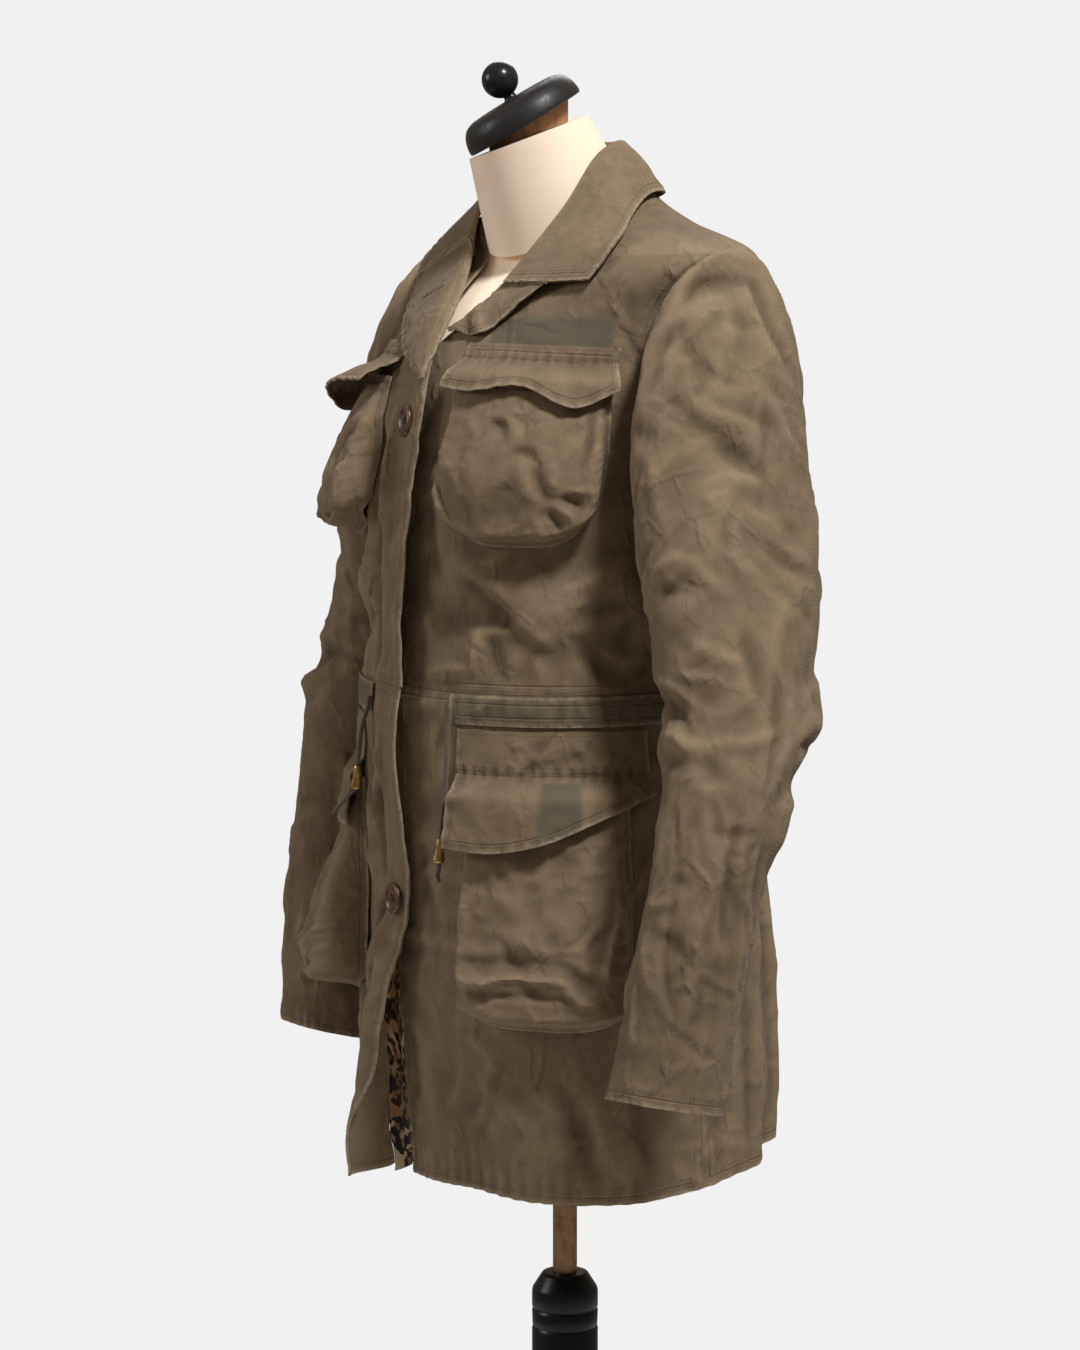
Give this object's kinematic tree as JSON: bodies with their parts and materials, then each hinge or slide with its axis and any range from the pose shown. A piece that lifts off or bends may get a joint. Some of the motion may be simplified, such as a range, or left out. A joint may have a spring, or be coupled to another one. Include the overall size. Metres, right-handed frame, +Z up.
{
  "type": "field jacket on a limbless dress form",
  "caption": "Hip-length cotton twill field jacket with bellows pockets and a drawstring waist, worn by a limbless dress form on a pole stand.",
  "frame": {"origin": "on the floor, at the middle of the base's underside, on the pole's axis", "axes": "+Z up along the pole, -Y is the jacket's front, +X is the wearer's left"},
  "size_m": [0.5767, 0.3454, 1.4656],
  "materials": {
    "olive_twill": "faded cotton twill, worn pale at the edges",
    "unfaded_twill": "cotton twill, less faded and greener",
    "spotted_lining": "smooth lining with an animal-spot print",
    "cord": "round braided cotton cord",
    "horn": "mottled brown, horn look, softly glossy",
    "brass_tip": "aged",
    "cream_cover": "tightly stretched plain cotton",
    "bare_wood": "plain turned wood",
    "black_cover": "black satin stretched over a disc",
    "black_lacquer": "black lacquer",
    "bronze_tube": "bronze coloured tube",
    "black_paint": "satin black"
  },
  "bodies": {
    "root": {"front_left": "olive_twill", "front_right": "olive_twill", "back": "olive_twill", "skirt_left": "olive_twill", "skirt_right": "olive_twill", "skirt_back": "olive_twill", "sleeve_left": "olive_twill", "sleeve_right": "olive_twill", "collar": "olive_twill", "lapel_right": "olive_twill", "lapel_left": "olive_twill", "chest_bag_left": "olive_twill", "chest_bag_right": "olive_twill", "hip_bag_left": "olive_twill", "hip_bag_right": "olive_twill", "chest_flap_left": "olive_twill", "chest_flap_right": "olive_twill", "hip_flap_left": "olive_twill", "hip_flap_right": "olive_twill", "facing_right": "unfaded_twill", "casing_left": "unfaded_twill", "casing_back": "unfaded_twill", "casing_right": "unfaded_twill", "lining_right": "spotted_lining", "button_upper": "horn", "button_lower": "horn", "drawstring_left": "cord", "drawstring_right": "cord", "cord_end_left": "brass_tip", "cord_end_right": "brass_tip", "form_body": "cream_cover", "neck_block": "bare_wood", "neck_cap": "black_cover", "knob": "black_lacquer", "pole": "bronze_tube", "column": "black_paint", "base": "black_paint"}
  },
  "joints": []
}
